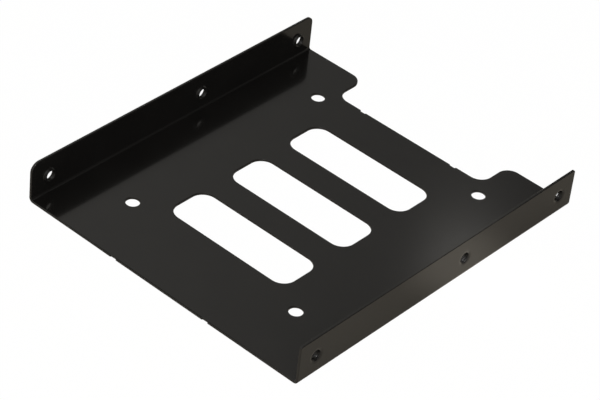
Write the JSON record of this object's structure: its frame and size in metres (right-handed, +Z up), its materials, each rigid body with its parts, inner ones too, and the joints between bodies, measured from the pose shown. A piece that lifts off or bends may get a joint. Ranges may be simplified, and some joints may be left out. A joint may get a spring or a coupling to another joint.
{
  "type": "drive bay adapter bracket",
  "caption": "Folded sheet-metal tray with two tapped side flanges that carries a small drive in the bay of a larger one.",
  "frame": {"origin": "centre of the small drive's screw pattern, on the underside of the sheet", "axes": "+X across the bay, +Y along the flanges to the recessed connector end, +Z up into the bracket"},
  "size_m": [0.101, 0.1142, 0.0127],
  "materials": {
    "black_paint": "semi-gloss black paint on sheet steel"
  },
  "bodies": {
    "root": {"bracket": "black_paint"}
  },
  "joints": []
}
